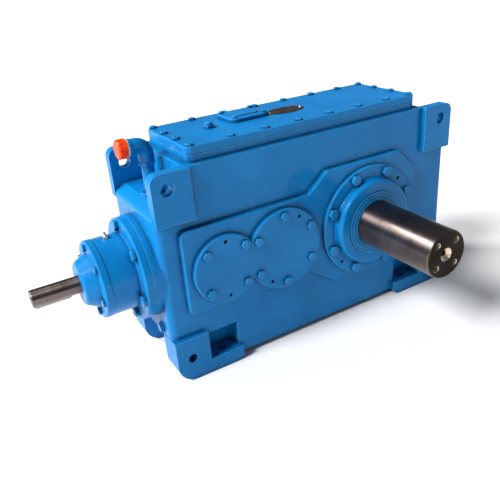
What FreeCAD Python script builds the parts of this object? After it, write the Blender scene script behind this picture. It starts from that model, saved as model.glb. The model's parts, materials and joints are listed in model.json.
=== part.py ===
import FreeCAD, Part
import math
import os

# Right-angle bevel gear unit with a one-piece cast housing, in millimetres.
# X runs along the housing from the input end (-X) to the output end (+X), Y across it, Z up.
# The output shaft leaves the front face towards -Y. The origin is the centre of the four
# foundation-bolt holes, on the plane that the feet stand on.

V = FreeCAD.Vector
X_AXIS = V(1, 0, 0)
Y_AXIS = V(0, 1, 0)
Z_AXIS = V(0, 0, 1)

# Housing
AXIS_HEIGHT = 230.0
HALF_LENGTH = 364.0
HALF_WIDTH = 120.0          # outermost machined pads, lugs and feet
FACE_Y = 108.0              # cast side faces behind the pads
WALL = 14.0
BODY_BOTTOM = 13.0
LOW_CORNER = 97.0
HIGH_CORNER = 359.0
SHOULDER = 372.0
SHOULDER_X = 340.0
UPPER_HALF = 292.0
LEDGE = 444.0
SEAT_DEPTH = 46.0           # pad face to the inner end of the side bearing seats

# Shaft axes
OUTPUT_X = 124.0
MIDDLE_X = -101.0
BEVEL_X = -236.0

# Top cover
COVER_LENGTH = 556.0
COVER_WIDTH = 190.0
RIM_HEIGHT = 15.0
GASKET = 1.0
COVER_THICK = 14.0
OPENING_LENGTH = 500.0
OPENING_WIDTH = 140.0
COVER_TOP = LEDGE + RIM_HEIGHT + GASKET + COVER_THICK

# Side covers: bore radius, cover radius, bolt circle radius, bolt count, angle of the first bolt,
# angle of the first jacking hole, flange thickness
BEVEL_SIDE = dict(x=BEVEL_X, bore=50.0, cover=72.0,
                  circle=58.5, bolts=4, first=45.0, jack=90.0, plate=10.0)
MIDDLE_SIDE = dict(x=MIDDLE_X, bore=60.0, cover=87.0,
                   circle=73.0, bolts=6, first=30.0, jack=60.0, plate=10.0)
OUTPUT_SIDE = dict(x=OUTPUT_X, bore=85.0, cover=125.0,
                   circle=111.0, bolts=8, first=22.5, jack=45.0, plate=8.0)
COVER_SPLIT_X = -177.5      # the two smaller covers are trimmed to meet along this line

# Hub of the front output cover
HUB_FACE = -146.5
HUB_R = 95.0
HUB_EDGE = 6.0
HUB_FOOT = 3.0
LABYRINTH_R = 72.0
OUTPUT_SEAL_R = 66.0

# Side bearings: inner radius, outer radius, width
BEVEL_BEARING = dict(inner=22.5, outer=50.0, width=30.0)
MIDDLE_BEARING = dict(inner=27.5, outer=60.0, width=32.0)
OUTPUT_BEARING = dict(inner=55.0, outer=85.0, width=38.0)
INPUT_BEARING = dict(inner=22.5, outer=50.0, width=25.0)
ROLLER_GAP = 0.3

# Gears
BEVEL_MODULE = 4.0
BEVEL_PINION_TEETH = 14
BEVEL_GEAR_TEETH = 37
BEVEL_FACE = 24.0
MIDDLE_MODULE = 3.0
OUTPUT_MODULE = 5.0
PINION_TEETH = 19
GEAR_TEETH = 71
BACKLASH = 0.3              # taken off each tooth at the pitch circle
PRESSURE_ANGLE = math.radians(20.0)

# Shaft ends
OUTPUT_SHAFT_R = 50.0
OUTPUT_SHAFT_END = -346.0
OUTPUT_STEP_Y = -146.0      # the shaft leaves its larger seal seat here, inside the labyrinth ring
SEAL_SEAT_R = 54.0
INPUT_SHAFT_R = 17.5
INPUT_SHAFT_END = -586.0

# Input cartridge, stations along X
BOSS_FACE = -380.0
FLANGE_FACE = -396.0
BARREL_END = -453.0
END_COVER_FACE = -467.0
NOSE_FACE = -494.0
NIPPLE_X = -427.0
CARTRIDGE_INNER_END = -325.0
CARTRIDGE_SPIGOT_R = 68.0
CARTRIDGE_FLANGE_R = 106.0
BARREL_R = 78.0

# Feet and lugs
FOOT_INNER_X = 213.0
FOOT_PLATE_X = 290.0
FOOT_THICK = 33.0
FOOT_TOP = 98.0
FOOT_DEPTH = 58.0
PLATE_THICK = 22.0
FOUNDATION_X = 253.0
FOUNDATION_Y = 96.0
FOUNDATION_HOLE_R = 9.5
POCKET_TOP = 90.0
POCKET_DEPTH = 44.0
LUG_BOTTOM = 346.0
LUG_TOP = 446.0
LUG_HOLE_X = 333.0
LUG_HOLE_Z = 415.0
LUG_HOLE_R = 12.0
FOOT_HOLE_X = 330.0
FOOT_HOLE_Z = 52.0
FOOT_HOLE_R = 10.0

# Oil filler
FILLER_X = -320.0
FILLER_PIPE_R = 12.5
FILLER_BORE = 9.0
FILLER_SPIGOT_R = 10.5
COLLAR_Z = 431.0
ELBOW_Z = 442.0             # lower end of the elbow
ELBOW_R = 15.5
ELBOW_BEND_R = 19.0
ELBOW_ARM_Z = 470.0
ELBOW_NECK_R = 12.0
CAP_START_X = -357.0
CAP_LENGTH = 17.5
CAP_R = 19.0

# Inner shafts, stations across the housing
BEVEL_SEAT_R = 25.0
WHEEL_SEAT_R = 62.5         # output gear seat
MIDDLE_SEAT_R = 32.0
OUTPUT_GEAR_Y = (-20.0, 50.0)
OUTPUT_PINION_Y = (-23.0, 53.0)
MIDDLE_GEAR_Y = (-68.0, -30.0)
MIDDLE_PINION_Y = (-71.0, -27.0)

# Fasteners
TOP_BOLT = 8.0
TOP_BOLT_HEAD = 4.4
TOP_BOLT_EDGE = 11.0        # bolt centres to the edge of the cover
TOP_BOLT_OFFSET = 11.0      # the inner bolts stand this far towards the output end of even spacing
CARTRIDGE_BOLT = 12.0
CARTRIDGE_CIRCLE = 92.0
END_COVER_BOLT = 8.0
END_COVER_CIRCLE = 66.0
SIDE_BOLT = {BEVEL_X: 10.0, MIDDLE_X: 10.0, OUTPUT_X: 12.0}
FIRST_INPUT_BOLT = 10.0
DRAIN_R = 9.0
DRAIN_Y = -62.0
DRAIN_Z = 112.0

# Top fittings
INSPECTION = (-134.0, -46.0, -10.0, 64.0)
BREATHER = (-183.0, 0.0)
NAMEPLATE = (0.0, 2.0, 44.0, 24.0)

SIDES = [(BEVEL_SIDE, BEVEL_BEARING), (MIDDLE_SIDE, MIDDLE_BEARING), (OUTPUT_SIDE, OUTPUT_BEARING)]
SHAPES = {}


def add(name, shape):
    SHAPES.setdefault(name, []).extend(shape.Solids)


def box(x0, x1, y0, y1, z0, z1):
    return Part.makeBox(x1 - x0, y1 - y0, z1 - z0, V(x0, y0, z0))


def rod(point, axis, radius, length):
    return Part.makeCylinder(radius, length, point, axis)


def ring(point, axis, outer, inner, length):
    return rod(point, axis, outer, length).cut(rod(point, axis, inner, length))


def across(x, z, y0, y1, radius):
    """Cylinder along Y between two stations."""
    return rod(V(x, y0, z), Y_AXIS, radius, y1 - y0)


def along(x0, x1, radius, y=0.0, z=AXIS_HEIGHT):
    """Cylinder along X between two stations."""
    return rod(V(x0, y, z), X_AXIS, radius, x1 - x0)


def polygon_face(points):
    return Part.Face(Part.makePolygon(points + [points[0]]))


def prism_xz(points, y0, y1):
    face = polygon_face([V(x, y0, z) for x, z in points])
    return face.extrude(V(0, y1 - y0, 0))


def turned(points, point, axis, reference):
    """Solid of revolution: points are (radius, station along the axis)."""
    outline = polygon_face([point + reference * r + axis * s for r, s in points])
    return outline.revolve(point, axis, 360)


def chamfered_rod(point, axis, radius, length, start, end):
    reference = Z_AXIS if abs(axis.z) < 0.5 else X_AXIS
    outline = [(0, 0), (radius - start, 0), (radius, start),
               (radius, length - end), (radius - end, length), (0, length)]
    return turned(outline, point, axis, reference)


def rounded_plate(x0, x1, y0, y1, z0, z1, corner):
    plate = box(x0, x1, y0, y1, z0, z1)
    return plate.makeFillet(corner, [e for e in plate.Edges if vertical(e)])


def vertical(edge):
    return abs(edge.tangentAt(edge.FirstParameter).z) > 0.999


def along_y(edge):
    return abs(edge.tangentAt(edge.FirstParameter).y) > 0.999


def circle_edge(shape, radius, y):
    """The round edge of this radius that lies in the plane across Y at this station."""
    for edge in shape.Edges:
        flat = abs(edge.BoundBox.YMin - y) < 0.01 and abs(edge.BoundBox.YMax - y) < 0.01
        if flat and edge.Curve.TypeId == "Part::GeomCircle" and abs(edge.Curve.Radius - radius) < 0.01:
            return edge


def mirrored_y(shape):
    return shape.mirror(V(0, 0, 0), Y_AXIS)


def mirrored_x(shape):
    return shape.mirror(V(0, 0, 0), X_AXIS)


def ring_points(centre, axis, reference, radius, count, first):
    """Points evenly spaced on a circle, at angles counted from the reference direction."""
    side = axis.cross(reference)
    points = []
    for index in range(count):
        angle = math.radians(first + 360.0 * index / count)
        points.append(centre + reference * (radius * math.cos(angle)) + side * (radius * math.sin(angle)))
    return points


def hex_bolt(seat, outward, size, head, depth):
    """Hexagon bolt with a washer face: the seat is the point under the head, the shank goes inwards."""
    reference = Z_AXIS if abs(outward.z) < 0.5 else X_AXIS
    corners = ring_points(seat + outward * 0.6, outward, reference, size * 0.95, 6, 30.0)
    hexagon = polygon_face(corners).extrude(outward * (head - 0.6))
    crown = turned([(0, 0), (size * 0.97, 0), (size * 0.97, head * 0.75), (size * 0.8, head), (0, head)],
                   seat, outward, reference)
    washer_face = rod(seat, outward, size * 0.8, 0.6)
    shank = rod(seat - outward * depth, outward, size / 2, depth)
    return hexagon.common(crown).fuse([washer_face, shank]).removeSplitter()


# Gear teeth


def involute(angle):
    return math.tan(angle) - angle


def flank_points(base, tip, root, half_angle, count):
    """Points (radius, angle from the tooth's middle) from root to tip on one flank."""
    start = max(base, root)
    points = []
    for index in range(count):
        radius = start + (tip - start) * index / (count - 1)
        spread = involute(math.acos(min(1.0, base / radius)))
        points.append((radius, half_angle + involute(PRESSURE_ANGLE) - spread))
    return points


def spur_outline(module, teeth):
    """Closed outline of an external gear in the plane, about the origin, with a tooth centred on +X.

    Flanks are involutes and the roots are arcs.
    """
    pitch = module * teeth / 2.0
    base = pitch * math.cos(PRESSURE_ANGLE)
    tip = pitch + module
    root = pitch - 1.25 * module
    half = math.pi / (2 * teeth) - BACKLASH / (2 * pitch)
    flank = flank_points(base, tip, root, half, 6)
    edges = []
    step = 2 * math.pi / teeth
    for index in range(teeth):
        edges.extend(tooth_edges(flank, root, tip, step * index, step))
    return Part.Wire(edges)


def polar(radius, angle):
    return V(radius * math.cos(angle), radius * math.sin(angle), 0)


def tooth_edges(flank, root, tip, middle, step):
    rising = [polar(r, middle - a) for r, a in flank]
    falling = [polar(r, middle + a) for r, a in reversed(flank)]
    edges = []
    start_angle = flank[0][1]
    if root < flank[0][0] - 0.01:
        foot = polar(root, middle - start_angle)
        edges.append(Part.LineSegment(foot, rising[0]).toShape())
    edges.append(spline_edge(rising))
    edges.append(Part.Arc(rising[-1], polar(tip, middle), falling[0]).toShape())
    edges.append(spline_edge(falling))
    low = falling[-1]
    if root < flank[0][0] - 0.01:
        low = polar(root, middle + start_angle)
        edges.append(Part.LineSegment(falling[-1], low).toShape())
    following = polar(root, middle + step - start_angle)
    edges.append(Part.Arc(low, polar(root, middle + step / 2), following).toShape())
    return edges


def spline_edge(points):
    curve = Part.BSplineCurve()
    curve.interpolate(points)
    return curve.toShape()


def spur_gear(module, teeth, x, y0, y1):
    """Gear about a Y axis at x, with a tooth centred on its +X side."""
    blank = Part.Face(spur_outline(module, teeth)).extrude(V(0, 0, y1 - y0))
    blank.rotate(V(0, 0, 0), X_AXIS, -90)
    blank.translate(V(x, y0, AXIS_HEIGHT))
    return blank


def bevel_outline(module, teeth, cone, shift, station, phase):
    """Section, at a distance from the apex along the axis, of straight teeth that all run to the apex."""
    pitch = module * teeth / 2.0
    virtual = pitch / math.cos(cone)
    distance = pitch / math.sin(cone)
    base = virtual * math.cos(PRESSURE_ANGLE)
    tip = virtual + module * (1.0 + shift)
    root = virtual - module * (1.25 - shift)
    half_length = module * (math.pi / 4 + shift * math.tan(PRESSURE_ANGLE)) - BACKLASH / 2
    flank = flank_points(base, tip, root, half_length / virtual, 6)
    if root < base:
        flank = [(root, flank[0][1])] + flank
    edges = []
    step = 2 * math.pi / teeth

    def on_section(radius, turn):
        radial = radius * math.cos(cone)
        axial = distance / math.cos(cone) - radius * math.sin(cone)
        return polar(radial * station / axial, turn)

    for index in range(teeth):
        middle = phase + step * index
        rising = [on_section(r, middle - a / math.cos(cone)) for r, a in flank]
        falling = [on_section(r, middle + a / math.cos(cone)) for r, a in reversed(flank)]
        edges.append(spline_edge(rising))
        edges.append(Part.Arc(rising[-1], on_section(flank[-1][0], middle), falling[0]).toShape())
        edges.append(spline_edge(falling))
        following = on_section(flank[0][0], middle + step - flank[0][1] / math.cos(cone))
        edges.append(Part.Arc(falling[-1], on_section(flank[0][0], middle + step / 2), following).toShape())
    return Part.Wire(edges)


def bevel_gear_solid(module, teeth, mate_teeth, shift, phase, core):
    """Straight bevel gear with its apex at the origin and its axis along +Z.

    core(toe, heel) gives the (radius, station) outline of everything inside the tooth ring,
    from the two inner corners of that ring.
    """
    pitch = module * teeth / 2.0
    mate_pitch = module * mate_teeth / 2.0
    cone = math.atan2(pitch, mate_pitch)
    distance = math.hypot(pitch, mate_pitch)
    toe_scale = (distance - BEVEL_FACE) / distance
    sections = []
    for station in (toe_scale * mate_pitch * 0.6, mate_pitch * 1.3 + 4.0):
        wire = bevel_outline(module, teeth, cone, shift, station, phase)
        wire.translate(V(0, 0, station))
        sections.append(wire)
    teeth_solid = Part.makeLoft(sections, True, True)

    def on_cone(scale, height):
        return (pitch * scale + height * math.cos(cone), mate_pitch * scale - height * math.sin(cone))

    above = module * (1.5 + shift)
    below = -module * (1.6 - shift)
    toe_in = on_cone(toe_scale, below)
    heel_in = on_cone(1.0, below)
    ring_corners = [toe_in, on_cone(toe_scale, above), on_cone(1.0, above), heel_in]
    band = turned(ring_corners, V(0, 0, 0), Z_AXIS, X_AXIS)
    toothed = band.common(teeth_solid)
    inside = turned(core(toe_in, heel_in), V(0, 0, 0), Z_AXIS, X_AXIS)
    return toothed.fuse(inside).removeSplitter()


def bevel_wheel():
    """Bevel gear on the cross shaft: apex on the input axis, teeth facing -Y."""
    half_space = math.pi / BEVEL_GEAR_TEETH

    def core(toe, heel):
        return [(BEVEL_SEAT_R, toe[1] + 1.0), toe, heel, (heel[0] - 9.0, 42.0),
                (40.0, 42.0), (36.0, 56.0), (BEVEL_SEAT_R, 56.0)]

    wheel = bevel_gear_solid(BEVEL_MODULE, BEVEL_GEAR_TEETH, BEVEL_PINION_TEETH, -0.3, half_space, core)
    # The section's reference direction ends up towards -X and the axis towards +Y.
    wheel.transformShape(FreeCAD.Matrix(-1, 0, 0, BEVEL_X, 0, 0, 1, 0, 0, 1, 0, AXIS_HEIGHT, 0, 0, 0, 1))
    return wheel


def bevel_pinion_head():
    """Bevel pinion on the input shaft: apex on the cross shaft's axis, axis towards -X."""
    def core(toe, heel):
        return [(0, toe[1]), toe, heel, (24.0, heel[1] + 6.0), (0, heel[1] + 6.0)]

    head = bevel_gear_solid(BEVEL_MODULE, BEVEL_PINION_TEETH, BEVEL_GEAR_TEETH, 0.3, 0.0, core)
    # The section's reference direction ends up towards +Y and the axis towards -X.
    head.transformShape(FreeCAD.Matrix(0, 0, -1, BEVEL_X, 1, 0, 0, 0, 0, -1, 0, AXIS_HEIGHT, 0, 0, 0, 1))
    return head


# Housing


def housing_profile(offset):
    """Corner points of the cast body seen along Y, moved inwards by the offset."""
    o = offset
    slope = 0.45 * o
    right = [(UPPER_HALF - slope, BODY_BOTTOM + o), (HALF_LENGTH - o, LOW_CORNER + slope),
             (HALF_LENGTH - o, HIGH_CORNER - slope), (SHOULDER_X - slope, SHOULDER - o),
             (UPPER_HALF - o, SHOULDER - o), (UPPER_HALF - o, LEDGE - o)]
    return right + [(-x, z) for x, z in reversed(right)]


def outer_body():
    body = prism_xz(housing_profile(0.0), -FACE_Y, FACE_Y)
    corners = [e for e in body.Edges if vertical(e) and e.Length > 200]
    corners += [e for e in body.Edges if along_y(e) and abs(e.CenterOfMass.x) > 350]
    body = body.makeFillet(14.0, corners)
    seam = [e for e in body.Edges if along_y(e) and abs(e.CenterOfMass.x) < UPPER_HALF + 1
            and 300 < e.CenterOfMass.z < 380]
    return body.makeFillet(8.0, seam)


def pad_plate():
    """Raised machined pad on the front face that carries the three side covers."""
    low, high = 148.0, 327.0
    left = box(-322, 20, -HALF_WIDTH, -FACE_Y + 1, low, high)
    left = left.makeFillet(14.0, [e for e in left.Edges if along_y(e) and e.CenterOfMass.x < -300])
    middle = across(MIDDLE_X, AXIS_HEIGHT, -HALF_WIDTH, -FACE_Y + 1, MIDDLE_SIDE["cover"] + 8)
    right = prism_xz([(34, 106), (226, 106), (262, 142), (262, 317), (212, 367), (15, 367), (-32, high),
                      (-32, low)], -HALF_WIDTH, -FACE_Y + 1)
    pad = left.fuse([middle, right]).removeSplitter()
    rim = [e for e in pad.Edges if abs(e.BoundBox.YMin + HALF_WIDTH) < 0.01
           and abs(e.BoundBox.YMax + HALF_WIDTH) < 0.01]
    return pad.makeChamfer(2.0, rim)


def lug_plate():
    """Front plate of one upper corner, right-hand end."""
    plate = box(UPPER_HALF - 6, HALF_LENGTH, -HALF_WIDTH, -HALF_WIDTH + PLATE_THICK, LUG_BOTTOM, LUG_TOP)
    corner = [e for e in plate.Edges if along_y(e) and e.CenterOfMass.x > 300 and e.CenterOfMass.z > 400]
    plate = plate.makeFillet(18.0, corner)
    hole = across(LUG_HOLE_X, LUG_HOLE_Z, -HALF_WIDTH - 1, -HALF_WIDTH + PLATE_THICK + 1, LUG_HOLE_R)
    plate = plate.cut(hole)
    return plate.makeChamfer(1.5, [circle_edge(plate, LUG_HOLE_R, -HALF_WIDTH)])


def foot_plate():
    """Front foot of the right-hand end: a plate, and a floor that takes the foundation bolt."""
    plate = box(FOOT_PLATE_X, HALF_LENGTH, -HALF_WIDTH, -HALF_WIDTH + FOOT_DEPTH, 0, FOOT_TOP)
    corner = [e for e in plate.Edges if along_y(e) and e.CenterOfMass.x > 350 and e.CenterOfMass.z < 50]
    plate = plate.makeFillet(40.0, corner)
    floor = box(FOOT_INNER_X, FOOT_PLATE_X + 1, -HALF_WIDTH, -HALF_WIDTH + FOOT_DEPTH, 0, FOOT_THICK)
    end = [e for e in floor.Edges if along_y(e) and e.CenterOfMass.x < FOOT_INNER_X + 1]
    floor = floor.makeFillet(15.0, [e for e in end if e.CenterOfMass.z < 1])
    return plate.fuse(floor).removeSplitter()


def pocket_block():
    """Metal around the foundation-bolt pocket, inside the body, right-hand front."""
    return box(FOOT_INNER_X - 7, FOOT_PLATE_X + 12, -FACE_Y, -HALF_WIDTH + POCKET_DEPTH + 12,
               BODY_BOTTOM, POCKET_TOP + 12)


def pocket_space():
    space = box(FOOT_INNER_X + 5, FOOT_PLATE_X, -HALF_WIDTH - 1, -HALF_WIDTH + POCKET_DEPTH,
                FOOT_THICK, POCKET_TOP)
    inner = [e for e in space.Edges if vertical(e) and e.CenterOfMass.y > -HALF_WIDTH]
    return space.makeFillet(12.0, inner)


def four_corners(shape):
    pair = [shape, mirrored_x(shape)]
    return pair + [mirrored_y(s) for s in pair]


def seat_boss(side):
    """Metal round a front bearing seat, inside the wall."""
    return across(side["x"], AXIS_HEIGHT, -FACE_Y + 1, -HALF_WIDTH + SEAT_DEPTH, side["bore"] + 13)


def seat_bore(side):
    return across(side["x"], AXIS_HEIGHT, -HALF_WIDTH - 1, -HALF_WIDTH + SEAT_DEPTH + 1, side["bore"])


def make_housing():
    body = outer_body()
    pad = pad_plate()
    body = body.fuse([pad, mirrored_y(pad)])
    body = body.fuse(four_corners(lug_plate()) + four_corners(foot_plate()))
    rim = rounded_plate(-COVER_LENGTH / 2, COVER_LENGTH / 2, -COVER_WIDTH / 2, COVER_WIDTH / 2,
                        LEDGE - 1, LEDGE + RIM_HEIGHT, 14.0)
    input_boss = along(BOSS_FACE, -HALF_LENGTH + 20, CARTRIDGE_FLANGE_R + 1)
    filler_boss = rod(V(FILLER_X, 0, SHOULDER - 10), Z_AXIS, 22.0, 16.0)
    body = body.fuse([rim, input_boss, filler_boss])
    body = body.cut(housing_cavity())
    body = body.cut(housing_holes())
    return body.removeSplitter()


def housing_cavity():
    inner = FACE_Y - WALL
    cavity = prism_xz(housing_profile(WALL), -inner, inner)
    solids = four_corners(pocket_block())
    for side, bearing in SIDES:
        solids += [seat_boss(side), mirrored_y(seat_boss(side))]
    input_seat = along(-HALF_LENGTH, CARTRIDGE_INNER_END, CARTRIDGE_SPIGOT_R + 12)
    cavity = cavity.cut(solids + [input_seat])
    opening = rounded_plate(-OPENING_LENGTH / 2, OPENING_LENGTH / 2, -OPENING_WIDTH / 2, OPENING_WIDTH / 2,
                            LEDGE - WALL - 1, LEDGE + RIM_HEIGHT + 1, 14.0)
    return cavity.fuse(opening)


def housing_holes():
    tools = []
    for side, bearing in SIDES:
        tools += [seat_bore(side), mirrored_y(seat_bore(side))]
        for seat in side_bolt_points(side, -HALF_WIDTH):
            hole = rod(seat, Y_AXIS, SIDE_BOLT[side["x"]] / 2, 21.0)
            tools += [hole, mirrored_y(hole)]
    tools.append(along(BOSS_FACE - 1, CARTRIDGE_INNER_END + 1, CARTRIDGE_SPIGOT_R))
    for seat in cartridge_bolt_points(BOSS_FACE):
        tools.append(rod(seat, X_AXIS, CARTRIDGE_BOLT / 2, 21.0))
    for x, y in top_bolt_positions():
        tools.append(rod(V(x, y, LEDGE + RIM_HEIGHT - 18.0), Z_AXIS, TOP_BOLT / 2, 20.0))
    tools += four_corners(pocket_space())
    hole = rod(V(FOUNDATION_X, -FOUNDATION_Y, -1), Z_AXIS, FOUNDATION_HOLE_R, FOOT_THICK + 2)
    tools += four_corners(hole)
    hole = across(FOOT_HOLE_X, FOOT_HOLE_Z, -HALF_WIDTH - 1, -HALF_WIDTH + FOOT_DEPTH, FOOT_HOLE_R)
    tools += four_corners(hole)
    tools.append(rod(V(FILLER_X, 0, SHOULDER - 20), Z_AXIS, FILLER_SPIGOT_R, 30.0))
    tools.append(along(-HALF_LENGTH - 1, -HALF_LENGTH + WALL + 6, DRAIN_R, DRAIN_Y, DRAIN_Z))
    return tools[0].fuse(tools[1:])


def side_bolt_points(side, y):
    centre = V(side["x"], y, AXIS_HEIGHT)
    return ring_points(centre, -Y_AXIS, X_AXIS, side["circle"], side["bolts"], side["first"])


def jack_points(side, y):
    centre = V(side["x"], y, AXIS_HEIGHT)
    return ring_points(centre, -Y_AXIS, X_AXIS, side["circle"], 2, side["jack"])


def cartridge_bolt_points(x):
    return ring_points(V(x, 0, AXIS_HEIGHT), -X_AXIS, Z_AXIS, CARTRIDGE_CIRCLE, 6, FIRST_INPUT_BOLT)


def end_cover_bolt_points(x):
    return ring_points(V(x, 0, AXIS_HEIGHT), -X_AXIS, Z_AXIS, END_COVER_CIRCLE, 6, FIRST_INPUT_BOLT)


def top_bolt_positions():
    """Bolts all round the top cover: eight along each long side and two more at each end."""
    half_x = COVER_LENGTH / 2 - TOP_BOLT_EDGE
    half_y = COVER_WIDTH / 2 - TOP_BOLT_EDGE
    positions = []
    for index in range(8):
        x = -half_x + 2 * half_x * index / 7
        if 0 < index < 7:
            x += TOP_BOLT_OFFSET
        positions += [(x, -half_y), (x, half_y)]
    for sign in (-1, 1):
        positions += [(sign * half_x, -half_y / 3), (sign * half_x, half_y / 3)]
    return positions


# Top cover and what stands on it


def make_top_cover():
    seat = LEDGE + RIM_HEIGHT + GASKET
    half_x, half_y = COVER_LENGTH / 2, COVER_WIDTH / 2
    plate = rounded_plate(-half_x, half_x, -half_y, half_y, seat, COVER_TOP, 14.0)
    rim = [e for e in plate.Edges if abs(e.BoundBox.ZMin - COVER_TOP) < 0.01]
    plate = plate.makeChamfer(1.5, rim)
    x0, x1, y0, y1 = INSPECTION
    window = rounded_plate(x0 + 16, x1 - 16, y0 + 16, y1 - 16, seat - 1, COVER_TOP + 1, 6.0)
    tools = [window, rod(V(BREATHER[0], BREATHER[1], seat - 1), Z_AXIS, 6.0, COVER_THICK + 2)]
    for x, y in top_bolt_positions():
        tools.append(rod(V(x, y, seat - 1), Z_AXIS, TOP_BOLT / 2, COVER_THICK + 2))
    tools += [rod(V(x, y, COVER_TOP - 10), Z_AXIS, 3.0, 11.0) for x, y in inspection_screw_positions()]
    tools += [rod(V(x, y, COVER_TOP - 6), Z_AXIS, 1.5, 7.0) for x, y in nameplate_rivet_positions()]
    return plate.cut(tools)


def make_top_gasket():
    base = LEDGE + RIM_HEIGHT
    half_x, half_y = COVER_LENGTH / 2 - 1, COVER_WIDTH / 2 - 1
    sheet = rounded_plate(-half_x, half_x, -half_y, half_y, base, base + GASKET, 13.0)
    opening = rounded_plate(-OPENING_LENGTH / 2, OPENING_LENGTH / 2, -OPENING_WIDTH / 2, OPENING_WIDTH / 2,
                            base - 1, base + 2, 14.0)
    holes = [rod(V(x, y, base - 1), Z_AXIS, TOP_BOLT / 2, 3.0) for x, y in top_bolt_positions()]
    return sheet.cut([opening] + holes)


def inspection_screw_positions():
    x0, x1, y0, y1 = INSPECTION
    return [(x, y) for x in (x0 + 9, x1 - 9) for y in (y0 + 9, y1 - 9)]


def nameplate_rivet_positions():
    x, y, half_x, half_y = NAMEPLATE
    return [(x - half_x + 6, y), (x + half_x - 6, y)]


def make_inspection():
    x0, x1, y0, y1 = INSPECTION
    window = rounded_plate(x0 + 16, x1 - 16, y0 + 16, y1 - 16, COVER_TOP - 1, COVER_TOP + GASKET + 1, 6.0)
    gasket = rounded_plate(x0 + 1, x1 - 1, y0 + 1, y1 - 1, COVER_TOP, COVER_TOP + GASKET, 13.0)
    gasket = gasket.cut(window)
    base = COVER_TOP + GASKET
    plate = rounded_plate(x0, x1, y0, y1, base, base + 7.0, 14.0)
    raised = rounded_plate(x0 + 17, x1 - 17, y0 + 15, y1 - 15, base + 6.0, base + 9.0, 8.0)
    plate = plate.makeChamfer(1.5, [e for e in plate.Edges if e.BoundBox.ZMin > base + 6.9])
    plate = plate.fuse(raised).removeSplitter()
    screws = []
    for x, y in inspection_screw_positions():
        plate = plate.cut(rod(V(x, y, base - 1), Z_AXIS, 3.0, 10.0))
        gasket = gasket.cut(rod(V(x, y, COVER_TOP - 1), Z_AXIS, 3.0, 4.0))
        screws.append(hex_bolt(V(x, y, base + 7.0), Z_AXIS, 6.0, 4.0, 15.0))
    add("inspection_gasket", gasket)
    add("inspection_cover", plate)
    for screw in screws:
        add("inspection_screws", screw)


def make_breather():
    x, y = BREATHER
    base = V(x, y, COVER_TOP)
    stem = rod(base - Z_AXIS * 10, Z_AXIS, 6.0, 10.0)
    hexagon = polygon_face(ring_points(base, Z_AXIS, X_AXIS, 12.0, 6, 0.0)).extrude(Z_AXIS * 6.0)
    cap = turned([(0, 5), (8, 5), (8, 9.5), (6, 11.5), (0, 12)], base, Z_AXIS, X_AXIS)
    return stem.fuse([hexagon, cap]).removeSplitter()


def make_nameplate():
    x, y, half_x, half_y = NAMEPLATE
    ellipse = Part.Ellipse(V(x, y, COVER_TOP), half_x, half_y).toShape()
    plate = Part.Face(Part.Wire([ellipse])).extrude(Z_AXIS * 1.2)
    inner = Part.Ellipse(V(x, y, COVER_TOP + 0.8), half_x - 3, half_y - 3).toShape()
    plate = plate.cut(Part.Face(Part.Wire([inner])).extrude(Z_AXIS))
    for px, py in nameplate_rivet_positions():
        plate = plate.cut(rod(V(px, py, COVER_TOP - 1), Z_AXIS, 1.5, 3.0))
        outline = [(0, -4), (1.5, -4), (1.5, 0.8), (3, 0.8), (2.4, 2), (0, 2.4)]
        add("nameplate_rivets", turned(outline, V(px, py, COVER_TOP), Z_AXIS, X_AXIS))
    return plate


# Side covers


def closed_cover(side, bearing):
    x, z = side["x"], AXIS_HEIGHT
    face = -HALF_WIDTH - side["plate"]
    reach = -HALF_WIDTH + SEAT_DEPTH - bearing["width"]
    plate = chamfered_rod(V(x, face, z), Y_AXIS, side["cover"], side["plate"], 2.0, 0.0)
    spigot = ring(V(x, -HALF_WIDTH - 1, z), Y_AXIS, side["bore"], side["bore"] - 8, reach + HALF_WIDTH + 1)
    cover = plate.fuse(spigot)
    return cover.cut(cover_holes(side, face)).removeSplitter()


def cover_holes(side, face):
    bolt_r = SIDE_BOLT[side["x"]] / 2
    holes = [rod(p, Y_AXIS, bolt_r, side["plate"] + 1) for p in side_bolt_points(side, face - 0.5)]
    return holes + [rod(p, Y_AXIS, 4.0, side["plate"] - 1.5) for p in jack_points(side, face - 0.5)]


def split_cover(side, bearing):
    cover = closed_cover(side, bearing)
    far = side["cover"] + 5
    if side["x"] < COVER_SPLIT_X:
        beyond = box(COVER_SPLIT_X - 0.3, COVER_SPLIT_X + far, -140, -HALF_WIDTH + 1, 100, 360)
    else:
        beyond = box(COVER_SPLIT_X - far, COVER_SPLIT_X + 0.3, -140, -HALF_WIDTH + 1, 100, 360)
    return cover.cut(beyond)


def output_front_cover():
    """Flanged cover with a deep hub round the output shaft."""
    side = OUTPUT_SIDE
    face = -HALF_WIDTH - side["plate"]
    reach = -HALF_WIDTH + SEAT_DEPTH - OUTPUT_BEARING["width"]
    bore = side["bore"]
    outline = [(LABYRINTH_R, HUB_FACE), (HUB_R, HUB_FACE), (HUB_R + 1.5, face),
               (side["cover"] - 2, face), (side["cover"], face + 2), (side["cover"], -HALF_WIDTH),
               (bore, -HALF_WIDTH), (bore, reach), (bore - 8, reach), (bore - 8, reach - 4),
               (SEAL_SEAT_R + 3, reach - 4), (SEAL_SEAT_R + 3, -122), (OUTPUT_SEAL_R, -122),
               (OUTPUT_SEAL_R, -135), (LABYRINTH_R, -135)]
    cover = turned(outline, V(OUTPUT_X, 0, AXIS_HEIGHT), Y_AXIS, X_AXIS)
    cover = cover.makeFillet(HUB_EDGE, [circle_edge(cover, HUB_R, HUB_FACE)])
    cover = cover.makeFillet(HUB_FOOT, [circle_edge(cover, HUB_R + 1.5, face)])
    return cover.cut(cover_holes(side, face))


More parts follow.
